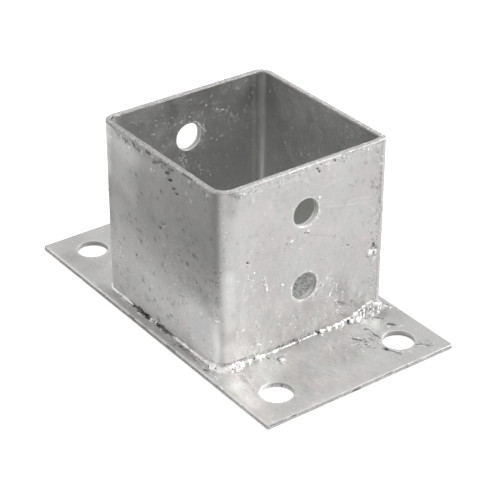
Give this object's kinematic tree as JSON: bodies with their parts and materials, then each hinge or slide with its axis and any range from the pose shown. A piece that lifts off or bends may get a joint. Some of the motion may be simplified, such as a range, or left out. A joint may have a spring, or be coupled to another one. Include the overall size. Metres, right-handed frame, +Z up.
{
  "type": "post base",
  "caption": "Square folded sleeve welded on a flat plate: holds the foot of a square timber post with through bolts and is anchored through the plate's corner holes.",
  "frame": {"origin": "middle of the base plate's underside", "axes": "+X along the base plate, towards the end whose sleeve corner has the widest bend; +Y across the plate; +Z up, out of the sleeve's open top"},
  "size_m": [0.15, 0.085, 0.074],
  "materials": {
    "zinc_plate": "hot-dip galvanised sheet steel, dull to half bright, with dross specks and pits",
    "zinc_sleeve": "hot-dip galvanised sheet steel, half bright, with runs below the rim",
    "zinc_weld": "hot-dip galvanised weld bead, rippled and bright"
  },
  "bodies": {
    "root": {"base_plate": "zinc_plate", "post_sleeve": "zinc_sleeve", "seam_weld": "zinc_weld", "front_weld": "zinc_weld", "rear_weld": "zinc_weld"}
  },
  "joints": []
}
